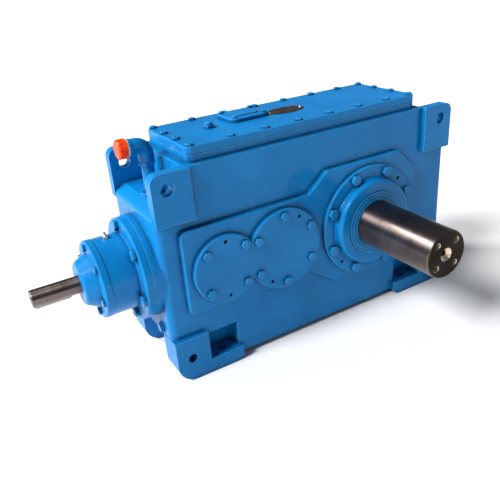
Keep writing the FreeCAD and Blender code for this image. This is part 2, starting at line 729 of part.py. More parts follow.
def output_rear_cover():
    """Closed flanged cover with a domed hub, built at the front and then mirrored."""
    side = OUTPUT_SIDE
    face = -HALF_WIDTH - side["plate"]
    reach = -HALF_WIDTH + SEAT_DEPTH - OUTPUT_BEARING["width"]
    bore = side["bore"]
    outline = [(0, face - 10), (HUB_R - 12, face - 10), (HUB_R - 8, face - 6), (HUB_R - 6, face),
               (side["cover"] - 2, face), (side["cover"], face + 2), (side["cover"], -HALF_WIDTH),
               (bore, -HALF_WIDTH), (bore, reach), (bore - 8, reach), (bore - 8, -HALF_WIDTH - 4),
               (0, -HALF_WIDTH - 4)]
    cover = turned(outline, V(OUTPUT_X, 0, AXIS_HEIGHT), Y_AXIS, X_AXIS)
    return mirrored_y(cover.cut(cover_holes(side, face)))


def make_side_covers():
    add("bevel_front_cover", split_cover(*SIDES[0]))
    add("bevel_rear_cover", mirrored_y(split_cover(*SIDES[0])))
    add("intermediate_front_cover", split_cover(*SIDES[1]))
    add("intermediate_rear_cover", mirrored_y(split_cover(*SIDES[1])))
    add("output_front_cover", output_front_cover())
    add("output_rear_cover", output_rear_cover())
    names = ("bevel_cover_bolts", "intermediate_cover_bolts", "output_cover_bolts")
    for name, (side, bearing) in zip(names, SIDES):
        face = -HALF_WIDTH - side["plate"]
        size = SIDE_BOLT[side["x"]]
        for seat in side_bolt_points(side, face):
            bolt = hex_bolt(seat, -Y_AXIS, size, size * 0.65, side["plate"] + 18)
            add(name, bolt)
            add(name, mirrored_y(bolt))


def make_output_seals():
    point = V(OUTPUT_X, 0, AXIS_HEIGHT)
    seal = turned([(SEAL_SEAT_R + 0.05, -133), (SEAL_SEAT_R + 5, -134.5), (OUTPUT_SEAL_R, -134.5),
                   (OUTPUT_SEAL_R, -122.5), (SEAL_SEAT_R + 6, -122.5), (SEAL_SEAT_R + 5, -127),
                   (SEAL_SEAT_R + 0.05, -129)], point, Y_AXIS, X_AXIS)
    add("output_seal", seal)
    outer = LABYRINTH_R - 1.0
    lip = OUTPUT_SHAFT_R + 0.7
    outline = [(SEAL_SEAT_R, -137), (SEAL_SEAT_R, OUTPUT_STEP_Y), (lip, OUTPUT_STEP_Y), (lip, -150),
               (lip + 5, -150), (lip + 6, -148.5), (lip + 8, -148.5), (lip + 9, -149.5),
               (lip + 12, -149.5), (lip + 13, -148), (lip + 15, -148), (lip + 16, -149),
               (outer, -149), (outer, -137)]
    add("output_labyrinth_ring", turned(outline, point, Y_AXIS, X_AXIS))


# Input cartridge


def input_turned(outline):
    """Solid about the input axis: stations are distances from the origin towards -X."""
    return turned(outline, V(0, 0, AXIS_HEIGHT), -X_AXIS, Z_AXIS)


def make_cartridge():
    start, boss, face, end = (-s for s in (CARTRIDGE_INNER_END, BOSS_FACE, FLANGE_FACE, BARREL_END))
    bore = INPUT_BEARING["outer"]
    width = INPUT_BEARING["width"]
    outline = [(bore, start), (CARTRIDGE_SPIGOT_R, start), (CARTRIDGE_SPIGOT_R, boss),
               (CARTRIDGE_FLANGE_R, boss), (CARTRIDGE_FLANGE_R, face - 2), (CARTRIDGE_FLANGE_R - 2, face),
               (BARREL_R + 2, face), (BARREL_R, face + 2), (BARREL_R, end), (bore, end),
               (bore, end - 16 - width), (bore - 8, end - 16 - width), (bore - 8, start + width),
               (bore, start + width)]
    cartridge = input_turned(outline)
    tools = [rod(p, X_AXIS, CARTRIDGE_BOLT / 2, 20.0) for p in cartridge_bolt_points(FLANGE_FACE - 1)]
    tools += [rod(p, X_AXIS, END_COVER_BOLT / 2, 19.0) for p in end_cover_bolt_points(BARREL_END - 1)]
    tools.append(rod(V(NIPPLE_X, 0, AXIS_HEIGHT + INPUT_BEARING["outer"] - 2), Z_AXIS, 4.0, 40.0))
    return cartridge.cut(tools)


def make_end_cover():
    seat, face, nose = (-s for s in (BARREL_END, END_COVER_FACE, NOSE_FACE))
    bore = INPUT_BEARING["outer"]
    outline = [(40, seat - 16), (bore, seat - 16), (bore, seat), (BARREL_R + 1, seat),
               (BARREL_R + 1, face - 2), (BARREL_R - 1, face), (56, face), (44, nose - 3), (40, nose),
               (18.4, nose), (18.4, nose - 5), (21, nose - 5), (21, nose - 9), (31, nose - 9),
               (31, nose - 19), (40, nose - 19)]
    points = end_cover_bolt_points(END_COVER_FACE - 1)
    return input_turned(outline).cut([rod(p, X_AXIS, END_COVER_BOLT / 2, 16.0) for p in points])


def make_input_fittings():
    nose = -NOSE_FACE
    seal = input_turned([(20.05, nose - 16), (24, nose - 18.5), (31, nose - 18.5), (31, nose - 9.5),
                         (26, nose - 9.5), (25, nose - 13), (20.05, nose - 13.5)])
    add("input_seal", seal)
    for seat in cartridge_bolt_points(FLANGE_FACE):
        add("cartridge_bolts", hex_bolt(seat, -X_AXIS, CARTRIDGE_BOLT, 8.0, 32.0))
    for seat in end_cover_bolt_points(END_COVER_FACE):
        add("end_cover_bolts", hex_bolt(seat, -X_AXIS, END_COVER_BOLT, 5.5, 30.0))
    top = V(NIPPLE_X, 0, AXIS_HEIGHT + BARREL_R)
    hexagon = polygon_face(ring_points(top, Z_AXIS, X_AXIS, 6.5, 6, 0.0)).extrude(Z_AXIS * 5.0)
    outline = [(0, -8), (4, -8), (4, 5), (3.2, 6), (2.4, 8), (3.2, 9.5), (2.6, 12), (0, 12)]
    nipple = hexagon.fuse(turned(outline, top, Z_AXIS, X_AXIS)).removeSplitter()
    add("grease_nipple", nipple)


# Oil filler and drain


def make_filler():
    """Straight pipe from the housing, a collar nut, an elbow towards -X, and the cap on its neck."""
    base = V(FILLER_X, 0, SHOULDER)
    pipe = rod(base + Z_AXIS * 6, Z_AXIS, FILLER_PIPE_R, ELBOW_Z + 10 - SHOULDER - 6)
    pipe = pipe.fuse(rod(base - Z_AXIS * 12, Z_AXIS, FILLER_SPIGOT_R, 19.0))
    pipe = pipe.cut(rod(base - Z_AXIS * 13, Z_AXIS, FILLER_BORE, 120.0))
    add("filler_pipe", pipe.removeSplitter())
    hexagon = ring_points(V(FILLER_X, 0, COLLAR_Z), Z_AXIS, X_AXIS, ELBOW_R + 1, 6, 0.0)
    nut = polygon_face(hexagon).extrude(Z_AXIS * 7.0)
    band = rod(V(FILLER_X, 0, COLLAR_Z), Z_AXIS, FILLER_PIPE_R + 1.7, ELBOW_Z - COLLAR_Z)
    nut = nut.fuse(band).cut(rod(base, Z_AXIS, FILLER_PIPE_R, 100.0))
    add("filler_pipe_nut", nut.removeSplitter())
    add("filler_elbow", filler_elbow())
    washer = ring(V(CAP_START_X, 0, ELBOW_ARM_Z), X_AXIS, CAP_R - 2, ELBOW_NECK_R, 3.5)
    add("filler_sight_ring", washer)
    add("filler_cap", filler_cap())


def elbow_run(radius, start_z, end_x):
    """Solid round bar that rises, bends over and runs towards -X."""
    bend_z = ELBOW_ARM_Z - ELBOW_BEND_R
    bend_x = FILLER_X - ELBOW_BEND_R
    part_way = ELBOW_BEND_R * math.sqrt(0.5)
    rise = Part.LineSegment(V(FILLER_X, 0, start_z), V(FILLER_X, 0, bend_z)).toShape()
    bend = Part.Arc(V(FILLER_X, 0, bend_z), V(bend_x + part_way, 0, bend_z + part_way),
                    V(bend_x, 0, ELBOW_ARM_Z)).toShape()
    arm = Part.LineSegment(V(bend_x, 0, ELBOW_ARM_Z), V(end_x, 0, ELBOW_ARM_Z)).toShape()
    circle = Part.Wire([Part.Circle(V(FILLER_X, 0, start_z), Z_AXIS, radius).toShape()])
    return Part.Wire([rise, bend, arm]).makePipeShell([circle], True, False)


def filler_elbow():
    shoulder_x = CAP_START_X + 3.5
    neck = along(CAP_START_X - 13, shoulder_x + 1, ELBOW_NECK_R, 0.0, ELBOW_ARM_Z)
    bead = along(shoulder_x, shoulder_x + 5, ELBOW_R + 1, 0.0, ELBOW_ARM_Z)
    elbow = elbow_run(ELBOW_R, ELBOW_Z, shoulder_x).fuse([neck, bead])
    socket = rod(V(FILLER_X, 0, ELBOW_Z - 1), Z_AXIS, FILLER_PIPE_R, 11.0)
    return elbow.cut([socket, elbow_run(FILLER_BORE, ELBOW_Z + 5, CAP_START_X - 14)]).removeSplitter()


def filler_cap():
    """Screw cap with finger flutes round its rim; its skirt runs over the elbow's neck."""
    start = V(CAP_START_X, 0, ELBOW_ARM_Z)
    length = CAP_LENGTH
    inner = ELBOW_NECK_R + 0.3
    outline = [(inner, 0.3), (CAP_R, 0.3), (CAP_R, length - 3), (CAP_R - 3, length), (0, length),
               (0, length - 3.5), (inner, length - 3.5)]
    cap = turned(outline, start, -X_AXIS, Z_AXIS)
    centres = ring_points(start - X_AXIS * 4, -X_AXIS, Z_AXIS, CAP_R + 1.4, 10, 18.0)
    return cap.cut([rod(point, -X_AXIS, 3.0, length) for point in centres])


def make_drain_plug():
    seat = V(-HALF_LENGTH, DRAIN_Y, DRAIN_Z)
    hexagon = polygon_face(ring_points(seat, -X_AXIS, Z_AXIS, 9.8, 6, 30.0)).extrude(-X_AXIS * 7.0)
    collar = rod(seat, -X_AXIS, 12.0, 2.5)
    return rod(seat, X_AXIS, DRAIN_R, 14.0).fuse([hexagon, collar]).removeSplitter()


# Bearings


def bearing_parts(point, axis, inner, outer, width, count):
    """Outer ring, inner ring, then rollers with the two cage rings that hold them."""
    reference = Z_AXIS if abs(axis.z) < 0.5 else X_AXIS
    race_in = inner + 0.28 * (outer - inner)
    race_out = outer - 0.28 * (outer - inner)
    outer_outline = [(race_out, 3), (race_out - 2, 0), (outer - 1, 0), (outer, 1), (outer, width - 1),
                     (outer - 1, width), (race_out - 2, width), (race_out, width - 3)]
    inner_outline = [(inner, 1), (inner + 1, 0), (race_in + 1.5, 0), (race_in, 3), (race_in, width - 3),
                     (race_in + 1.5, width), (inner + 1, width), (inner, width - 1)]
    outer_ring = turned(outer_outline, point, axis, reference)
    inner_ring = turned(inner_outline, point, axis, reference)
    roller_r = (race_out - race_in - ROLLER_GAP - 0.05) / 2
    middle = race_in + 0.05 + roller_r
    length = width - 12
    rolling = []
    for centre in ring_points(point + axis * 6, axis, reference, middle, count, 0.0):
        rolling.append(chamfered_rod(centre, axis, roller_r, length, 0.6, 0.6))
    for station in (3.5, width - 6):
        rolling.append(ring(point + axis * station, axis, middle + 1.8, middle - 1.8, 2.5))
    return outer_ring, inner_ring, rolling


def add_bearing(name, point, axis, size, count):
    dimensions = (size["inner"], size["outer"], size["width"])
    outer_ring, inner_ring, rolling = bearing_parts(point, axis, *dimensions, count)
    add(name + "_bearing_outer_rings", outer_ring)
    add(name + "_bearing_inner_rings", inner_ring)
    for piece in rolling:
        add(name + "_bearing_rollers", piece)


def make_bearings():
    inner_end = -HALF_WIDTH + SEAT_DEPTH
    names = ("bevel", "intermediate", "output")
    for name, count, (side, size) in zip(names, (14, 14, 18), SIDES):
        for sign in (-1, 1):
            point = V(side["x"], -sign * inner_end, AXIS_HEIGHT)
            add_bearing(name, point, Y_AXIS * sign, size, count)
    width = INPUT_BEARING["width"]
    for start in (CARTRIDGE_INNER_END, BARREL_END + 16 + width):
        add_bearing("input", V(start, 0, AXIS_HEIGHT), -X_AXIS, INPUT_BEARING, 14)


# Shafts and gears


def shaft_turned(x, outline):
    return turned(outline, V(x, 0, AXIS_HEIGHT), Y_AXIS, Z_AXIS)


def key_block(x, width, y0, y1, r0, r1):
    """Round-ended parallel key lying along Y, above the axis."""
    return rounded_plate(x - width / 2, x + width / 2, y0, y1, AXIS_HEIGHT + r0, AXIS_HEIGHT + r1,
                         width / 2 - 0.05)


def make_output_shaft():
    seat0, seat1 = OUTPUT_GEAR_Y
    r = OUTPUT_SHAFT_R
    end = OUTPUT_SHAFT_END
    outline = [(0, end), (r - 2, end), (r, end + 2), (r, OUTPUT_STEP_Y), (SEAL_SEAT_R, OUTPUT_STEP_Y),
               (SEAL_SEAT_R, -112), (55, -112), (55, -74), (64, -74), (64, seat0 - 12), (72, seat0 - 12),
               (72, seat0), (WHEEL_SEAT_R, seat0), (WHEEL_SEAT_R, seat1), (55, seat1), (55, 112),
               (53, 114), (0, 114)]
    shaft = shaft_turned(OUTPUT_X, outline)
    gear_key = key_block(OUTPUT_X, 32.0, seat0 + 6, seat1 - 6, WHEEL_SEAT_R - 11, WHEEL_SEAT_R + 7)
    centre = V(OUTPUT_X, end, AXIS_HEIGHT)
    tools = [gear_key, rod(centre, Y_AXIS, 6.5, 36.0),
             turned([(0, -1), (14.5, -1), (14.5, 0), (6.5, 8), (0, 8)], centre, Y_AXIS, Z_AXIS)]
    for point in ring_points(centre, Y_AXIS, Z_AXIS, 34.5, 4, 45.0):
        tools.append(rod(point, Y_AXIS, 6.0, 28.0))
        tools.append(turned([(0, -0.5), (8, -0.5), (6, 1.5), (0, 1.5)], point, Y_AXIS, Z_AXIS))
    add("output_shaft", shaft.cut(tools))
    add("output_gear_key", gear_key)
    add("output_gear", output_gear(gear_key))
    spacer = ring(V(OUTPUT_X, seat1, AXIS_HEIGHT), Y_AXIS, 66.0, 55.0, 74 - seat1)
    add("output_spacer", spacer)


def output_gear(key):
    y0, y1 = OUTPUT_GEAR_Y
    gear = spur_gear(OUTPUT_MODULE, GEAR_TEETH, OUTPUT_X, y0, y1)
    web = 11.0
    recess = ring(V(OUTPUT_X, y0 - 1, AXIS_HEIGHT), Y_AXIS, 154.0, 92.0, web + 1)
    tools = [across(OUTPUT_X, AXIS_HEIGHT, y0 - 1, y1 + 1, WHEEL_SEAT_R), key, recess,
             recess.translated(V(0, y1 - y0 - web + 1, 0))]
    for point in ring_points(V(OUTPUT_X, y0 - 1, AXIS_HEIGHT), Y_AXIS, Z_AXIS, 122.0, 6, 0.0):
        tools.append(rod(point, Y_AXIS, 20.0, y1 - y0 + 2))
    return gear.cut(tools)


def make_intermediate_shaft():
    seat0, seat1 = MIDDLE_GEAR_Y
    pinion0, pinion1 = OUTPUT_PINION_Y
    outline = [(0, -108), (26.5, -108), (27.5, -107), (27.5, -74), (MIDDLE_SEAT_R, -74),
               (MIDDLE_SEAT_R, seat1), (38, seat1), (38, 66), (33, 66), (33, 74), (27.5, 74),
               (27.5, 107), (26.5, 108), (0, 108)]
    shaft = shaft_turned(MIDDLE_X, outline)
    pinion = spur_gear(OUTPUT_MODULE, PINION_TEETH, MIDDLE_X, pinion0, pinion1)
    key = key_block(MIDDLE_X, 18.0, seat0 + 3, seat1 - 3, MIDDLE_SEAT_R - 7, MIDDLE_SEAT_R + 4)
    add("intermediate_shaft", shaft.fuse(pinion).cut(key))
    add("intermediate_gear_key", key)
    gear = spur_gear(MIDDLE_MODULE, GEAR_TEETH, MIDDLE_X, seat0, seat1)
    gear = gear.fuse(across(MIDDLE_X, AXIS_HEIGHT, -74, seat0 + 1, 36.0))
    recess = ring(V(MIDDLE_X, seat0 - 1, AXIS_HEIGHT), Y_AXIS, 94.0, 52.0, 8.0)
    tools = [across(MIDDLE_X, AXIS_HEIGHT, -75, seat1 + 1, MIDDLE_SEAT_R), key, recess,
             recess.translated(V(0, seat1 - seat0 - 6, 0))]
    add("intermediate_gear", gear.cut(tools))


def make_bevel_shaft():
    pinion0, pinion1 = MIDDLE_PINION_Y
    outline = [(0, -104), (21.5, -104), (22.5, -103), (22.5, -74), (24.5, -74), (24.5, 16), (31, 16),
               (31, 26.5), (BEVEL_SEAT_R, 26.5), (BEVEL_SEAT_R, 56), (22.5, 56), (22.5, 103),
               (21.5, 104), (0, 104)]
    shaft = shaft_turned(BEVEL_X, outline)
    pinion = spur_gear(MIDDLE_MODULE, PINION_TEETH, BEVEL_X, pinion0, pinion1)
    key = key_block(BEVEL_X, 14.0, 29.0, 54.0, BEVEL_SEAT_R - 5.5, BEVEL_SEAT_R + 3.5)
    add("bevel_shaft", shaft.fuse(pinion).cut(key))
    add("bevel_gear_key", key)
    add("bevel_gear", bevel_wheel().cut([across(BEVEL_X, AXIS_HEIGHT, 10, 60, BEVEL_SEAT_R), key]))
    add("bevel_spacer", ring(V(BEVEL_X, 56, AXIS_HEIGHT), Y_AXIS, 31.0, 22.5, 18.0))


def make_input_shaft():
    tip = -INPUT_SHAFT_END
    nose = -NOSE_FACE
    r = INPUT_SHAFT_R
    outline = [(0, 312), (24, 312), (24, 316), (29, 316), (29, 325), (22.5, 325), (22.5, 447),
               (20, 447), (20, nose - 6), (r, nose - 6), (r, tip - 1.5), (r - 1.5, tip), (0, tip)]
    shaft = input_turned(outline).fuse(bevel_pinion_head())
    key = rounded_plate(-tip + 3, -tip + 73, -5, 5, AXIS_HEIGHT - r - 3, AXIS_HEIGHT - r + 5, 4.95)
    tip_point = V(-tip, 0, AXIS_HEIGHT)
    centre = turned([(0, -1), (6, -1), (2.5, 5), (2.5, 14), (0, 14)], tip_point, X_AXIS, Z_AXIS)
    add("input_shaft", shaft.cut([key, centre]))
    add("input_key", key)
    add("input_spacer", input_turned([(22.5, 350), (29, 350), (29, 412), (22.5, 412)]))
    nut = input_turned([(22.5, 437), (33, 437), (33, 445.5), (31.5, 447), (22.5, 447)])
    slot_centres = ring_points(V(-436, 0, AXIS_HEIGHT), -X_AXIS, Z_AXIS, 33.5, 4, 0.0)
    add("input_locknut", nut.cut([rod(point, -X_AXIS, 3.0, 12.0) for point in slot_centres]))


def make_all():
    add("housing", make_housing())
    add("top_cover", make_top_cover())
    add("top_cover_gasket", make_top_gasket())
    for x, y in top_bolt_positions():
        add("top_cover_bolts", hex_bolt(V(x, y, COVER_TOP), Z_AXIS, TOP_BOLT, TOP_BOLT_HEAD, 30.0))
    make_inspection()
    add("breather", make_breather())
    add("nameplate", make_nameplate())
    make_side_covers()
    make_output_seals()
    add("input_cartridge", make_cartridge())
    add("input_end_cover", make_end_cover())
    make_input_fittings()
    make_filler()
    add("drain_plug", make_drain_plug())
    make_bearings()
    make_output_shaft()
    make_intermediate_shaft()
    make_bevel_shaft()
    make_input_shaft()


def main():
    os.makedirs("parts", exist_ok=True)
    make_all()
    for name, solids in SHAPES.items():
        shape = solids[0] if len(solids) == 1 else Part.makeCompound(solids)
        if not shape.isValid():
            print("not valid:", name)
        shape.exportStep("parts/" + name + ".step")
    print(len(SHAPES), "nodes")


main()
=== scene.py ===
import json

import bpy
from mathutils import Matrix, Vector

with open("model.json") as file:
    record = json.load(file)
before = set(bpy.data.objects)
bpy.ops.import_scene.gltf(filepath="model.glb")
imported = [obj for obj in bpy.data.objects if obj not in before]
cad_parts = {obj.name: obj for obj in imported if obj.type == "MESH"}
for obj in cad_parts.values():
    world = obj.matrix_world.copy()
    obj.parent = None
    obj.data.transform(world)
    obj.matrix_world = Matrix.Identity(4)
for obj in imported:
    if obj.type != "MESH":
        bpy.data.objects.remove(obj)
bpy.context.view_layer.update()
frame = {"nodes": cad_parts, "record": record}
NODES = frame["nodes"]

# Shaft axes, in metres
AXIS_HEIGHT = 0.230
OUTPUT_X = 0.124
MIDDLE_X = -0.101
BEVEL_X = -0.236

# A station along Y just inside the output shaft's end face, and the radius that encloses its end holes
OUTPUT_FACE_Y = -0.3456
END_HOLES_R = 0.0455


# Node helpers


class Tree:
    """A material's node tree with short calls for the nodes used here."""

    def __init__(self, name):
        self.material = bpy.data.materials.new(name)
        self.material.use_nodes = True
        self.tree = self.material.node_tree
        self.shader = self.tree.nodes["Principled BSDF"]
        self.place = self.node("ShaderNodeTexCoord").outputs["Object"]

    def node(self, kind, **settings):
        made = self.tree.nodes.new(kind)
        for key, value in settings.items():
            setattr(made, key, value)
        return made

    def link(self, value, socket):
        """Joins a socket, or writes a plain value."""
        if isinstance(value, bpy.types.NodeSocket):
            self.tree.links.new(value, socket)
        else:
            socket.default_value = value

    def math(self, operation, first, second=0.0):
        made = self.node("ShaderNodeMath", operation=operation)
        self.link(first, made.inputs[0])
        self.link(second, made.inputs[1])
        return made.outputs[0]

    def stretched(self, scale, offset=(0.0, 0.0, 0.0)):
        made = self.node("ShaderNodeMapping")
        self.link(self.place, made.inputs["Vector"])
        made.inputs["Scale"].default_value = scale
        made.inputs["Location"].default_value = offset
        return made.outputs[0]

    def noise(self, scale, detail=3.0, roughness=0.55, vector=None):
        made = self.node("ShaderNodeTexNoise")
        self.link(vector or self.place, made.inputs["Vector"])
        made.inputs["Scale"].default_value = scale
        made.inputs["Detail"].default_value = detail
        made.inputs["Roughness"].default_value = roughness
        return made.outputs["Fac"]

    def axis(self, letter):
        """The object-space coordinate along one axis, in metres."""
        parts = self.node("ShaderNodeSeparateXYZ")
        self.link(self.place, parts.inputs[0])
        return parts.outputs["XYZ".index(letter)]

    def ranged(self, value, low, high, to_low, to_high):
        made = self.node("ShaderNodeMapRange")
        for socket, number in zip(made.inputs[:5], (value, low, high, to_low, to_high)):
            self.link(number, socket)
        return made.outputs[0]

    def blend(self, factor, first, second):
        made = self.node("ShaderNodeMix", data_type="RGBA")
        self.link(factor, made.inputs[0])
        self.link(first, made.inputs[6])
        self.link(second, made.inputs[7])
        return made.outputs[2]

    def bump(self, height, strength, distance, normal=None):
        made = self.node("ShaderNodeBump")
        made.inputs["Strength"].default_value = strength
        made.inputs["Distance"].default_value = distance
        self.link(height, made.inputs["Height"])
        if normal is not None:
            self.link(normal, made.inputs["Normal"])
        return made.outputs[0]

    def soft_edges(self, radius):
        made = self.node("ShaderNodeBevel", samples=6)
        made.inputs["Radius"].default_value = radius
        return made.outputs[0]

    def edge_mask(self, radius, low, high):
        """1 along the sharp edges and 0 on open faces."""
        product = self.node("ShaderNodeVectorMath", operation="DOT_PRODUCT")
        self.link(self.soft_edges(radius), product.inputs[0])
        self.link(self.node("ShaderNodeNewGeometry").outputs["Normal"], product.inputs[1])
        return self.ranged(product.outputs["Value"], low, high, 1.0, 0.0)

    def corner_occlusion(self, distance):
        """1 in tight inner corners and 0 in the open, from ambient occlusion; used to paint shade."""
        made = self.node("ShaderNodeAmbientOcclusion", samples=8)
        made.inputs["Distance"].default_value = distance
        return self.ranged(made.outputs["AO"], 0.45, 0.95, 1.0, 0.0)

    def finish(self, colour, roughness, normal=None, **plain):
        self.link(colour, self.shader.inputs["Base Color"])
        self.link(roughness, self.shader.inputs["Roughness"])
        if normal is not None:
            self.link(normal, self.shader.inputs["Normal"])
        for key, value in plain.items():
            self.shader.inputs[key.replace("_", " ")].default_value = value
        return self.material


# Colours

BLUE_DEEP = (0.002, 0.145, 0.400, 1.0)
BLUE_BRIGHT = (0.003, 0.180, 0.470, 1.0)
BOLT_BRIGHT = (0.010, 0.200, 0.500, 1.0)
# Paler blue painted along the enamel's edges as a painted highlight
BLUE_EDGE_HIGHLIGHT = (0.12, 0.58, 0.90, 1.0)
DUST = (0.010, 0.20, 0.44, 1.0)
# Dark navy painted into tight corners as painted shade
CORNER_SHADE = (0.003, 0.030, 0.090, 1.0)
STEEL_DARK = (0.095, 0.068, 0.060, 1.0)
STEEL_LIGHT = (0.21, 0.165, 0.150, 1.0)
STEEL_EDGE = (0.62, 0.56, 0.50, 1.0)
# Pale steel for the end holes: bare cut metal, brightened as a painted highlight
CUT_STEEL_HIGHLIT = (0.75, 0.62, 0.52, 1.0)
BLACK_DEEP = (0.003, 0.002, 0.001, 1.0)
BLACK_PALE = (0.012, 0.007, 0.005, 1.0)
GEAR_DARK = (0.34, 0.34, 0.35, 1.0)
GEAR_LIGHT = (0.55, 0.55, 0.57, 1.0)
WHITE = (1.0, 1.0, 1.0, 1.0)

# Roughness, low and high
SHAFT_ROUGH = (0.32, 0.42)
INNER_ROUGH = (0.25, 0.38)


# Materials


def enamel(name, grain, peel, deep, bright, highlight_tint):
    """Blue enamel: cast grain under it, orange peel in it, and a painted highlight in paler blue along its
    edges.
    """
    t = Tree(name)
    clouds = t.noise(9.0, 4.0, 0.6)
    colour = t.blend(t.ranged(clouds, 0.35, 0.68, 0.0, 1.0), deep, bright)
    # Painted highlight: a paler blue laid along the sharp edges, patchy with noise
    edges = t.edge_mask(0.0022, 0.80, 0.985)
    edge_highlight_and_wear = t.math("MULTIPLY", edges, t.ranged(t.noise(60.0, 3.0), 0.35, 0.65, 0.35, 1.0))
    colour = t.blend(t.math("MULTIPLY", edge_highlight_and_wear, 0.75), colour, highlight_tint)
    dust = t.ranged(t.noise(26.0, 5.0, 0.65), 0.5, 0.78, 0.0, 0.10)
    colour = t.blend(dust, colour, DUST)
    # Painted shade: dark navy laid into tight corners from the occlusion mask, patchy with noise
    painted_corner_shade = t.math("MULTIPLY", t.corner_occlusion(0.014), t.ranged(t.noise(34.0, 4.0), 0.3, 0.7, 0.55, 0.95))
    colour = t.blend(painted_corner_shade, colour, CORNER_SHADE)
    rough = t.ranged(t.noise(45.0, 4.0), 0.3, 0.7, 0.30, 0.44)
    fine = t.math("MULTIPLY", t.noise(420.0, 2.0), grain)
    height = t.math("ADD", fine, t.math("MULTIPLY", t.noise(150.0, 2.0), peel))
    normal = t.bump(height, 0.35, 0.0012, t.soft_edges(0.0016))
    gloss = dict(Specular_IOR_Level=0.06, Coat_Weight=0.20, Coat_Roughness=0.08)
    return t.finish(colour, rough, normal, **gloss)


def turned_steel(name, axis, centre, dark, light, rough_low, rough_high, face=None):
    """Lathe-turned steel: fine rings round the axis, with faint streaks and staining.

    The end face beyond the station called face is blackened, and its holes are bright inside: bare cut steel,
    brightened further as a painted highlight.
    """
    t = Tree(name)
    station = t.axis(axis)
    others = [t.axis(letter) for letter in "XYZ" if letter != axis]
    squares = []
    for value, middle in zip(others, centre):
        offset = t.math("SUBTRACT", value, middle)
        squares.append(t.math("MULTIPLY", offset, offset))
    radius = t.math("SQRT", t.math("ADD", *squares))
    joined = t.node("ShaderNodeCombineXYZ")
    t.link(station, joined.inputs[0])
    t.link(radius, joined.inputs[1])
    rings = t.noise(900.0, 2.0, 0.7, joined.outputs[0])
    broad = t.noise(60.0, 3.0, 0.6, joined.outputs[0])
    stain = t.noise(14.0, 5.0, 0.62)
    colour = t.blend(t.ranged(stain, 0.3, 0.7, 0.0, 1.0), dark, light)
    colour = t.blend(t.ranged(rings, 0.35, 0.65, 0.0, 0.35), colour, light)
    if face is not None:
        # Bare cut steel inside the end holes, made extra bright as a painted highlight where the deep holes
        # get little light
        in_holes = t.math("LESS_THAN", radius, END_HOLES_R)
        cut_and_highlit = t.math("MULTIPLY", in_holes, t.ranged(station, face + 0.010, face + 0.009, 0.0, 1.0))
        colour = t.blend(cut_and_highlit, colour, CUT_STEEL_HIGHLIT)
        end = t.ranged(station, face, face + 0.0005, 1.0, 0.0)
        black = t.blend(stain, BLACK_DEEP, BLACK_PALE)
        colour = t.blend(end, colour, black)
    edges = t.edge_mask(0.0012, 0.80, 0.985)
    colour = t.blend(t.math("MULTIPLY", edges, 0.6), colour, STEEL_EDGE)
    rough = t.ranged(broad, 0.3, 0.7, rough_low, rough_high)
    rough = t.math("ADD", rough, t.ranged(rings, 0.3, 0.7, -0.04, 0.05))
    normal = t.bump(rings, 0.18, 0.0004, t.soft_edges(0.0009))
    grooves = t.node("ShaderNodeTangent", direction_type="RADIAL", axis=axis)
    t.link(grooves.outputs[0], t.shader.inputs["Tangent"])
    return t.finish(colour, rough, normal, Metallic=1.0, Anisotropic=0.88, Anisotropic_Rotation=0.25)


def plain_metal(name, dark, light, rough_low, rough_high, scale=35.0):
    """Ground or plated metal with clouding, fine scratches and bright edges."""
    t = Tree(name)
    clouds = t.noise(scale, 5.0, 0.6)
    scratches = t.noise(220.0, 2.0, 0.7, t.stretched((1.0, 9.0, 2.0)))
    colour = t.blend(t.ranged(clouds, 0.3, 0.7, 0.0, 1.0), dark, light)
    edges = t.edge_mask(0.0008, 0.80, 0.985)
    edge_highlight_and_wear = tuple(min(1.0, 1.4 * value) for value in light)
    colour = t.blend(t.math("MULTIPLY", edges, 0.5), colour, edge_highlight_and_wear)
    rough = t.ranged(clouds, 0.3, 0.7, rough_low, rough_high)
    rough = t.math("ADD", rough, t.ranged(scratches, 0.4, 0.7, 0.0, 0.08))
    normal = t.bump(scratches, 0.12, 0.0003, t.soft_edges(0.0005))
    return t.finish(colour, rough, normal, Metallic=1.0)


def rubber(name):
    """Dull black rubber with a fine pebbled surface."""
    t = Tree(name)
    colour = t.blend(t.noise(80.0, 4.0), (0.012, 0.012, 0.013, 1.0), (0.035, 0.034, 0.033, 1.0))
    rough = t.ranged(t.noise(120.0), 0.3, 0.7, 0.55, 0.75)
    return t.finish(colour, rough, t.bump(t.noise(700.0, 2.0), 0.2, 0.0004))


def gasket_paper(name):
    """Dark fibrous gasket sheet."""
    t = Tree(name)
    fibres = t.noise(500.0, 4.0, 0.7, t.stretched((1.0, 3.0, 1.0)))
    colour = t.blend(fibres, (0.015, 0.035, 0.06, 1.0), (0.04, 0.08, 0.12, 1.0))
    return t.finish(colour, t.ranged(fibres, 0.3, 0.7, 0.7, 0.9), t.bump(fibres, 0.3, 0.0003))


def bronze(name):
    """Brown plate with patina and a brushed grain."""
    t = Tree(name)
    patina = t.noise(70.0, 6.0, 0.65)
    dark, light = (0.035, 0.020, 0.016, 1.0), (0.13, 0.085, 0.065, 1.0)
    colour = t.blend(t.ranged(patina, 0.35, 0.7, 0.0, 1.0), dark, light)
    brushed = t.noise(300.0, 2.0, 0.6, t.stretched((0.2, 6.0, 1.0)))
    rough = t.ranged(patina, 0.3, 0.7, 0.34, 0.5)
    return t.finish(colour, rough, t.bump(brushed, 0.15, 0.0003, t.soft_edges(0.0005)), Metallic=0.75)


def moulded(name, low, high, rough_low, rough_high):
    """Moulded plastic whose colour drifts between two tones."""
    t = Tree(name)
    colour = t.blend(t.ranged(t.noise(60.0, 4.0), 0.3, 0.7, 0.0, 1.0), low, high)
    rough = t.ranged(t.noise(140.0, 3.0), 0.3, 0.7, rough_low, rough_high)
    normal = t.bump(t.noise(900.0, 2.0), 0.10, 0.0003, t.soft_edges(0.0008))
    return t.finish(colour, rough, normal, Specular_IOR_Level=0.25)


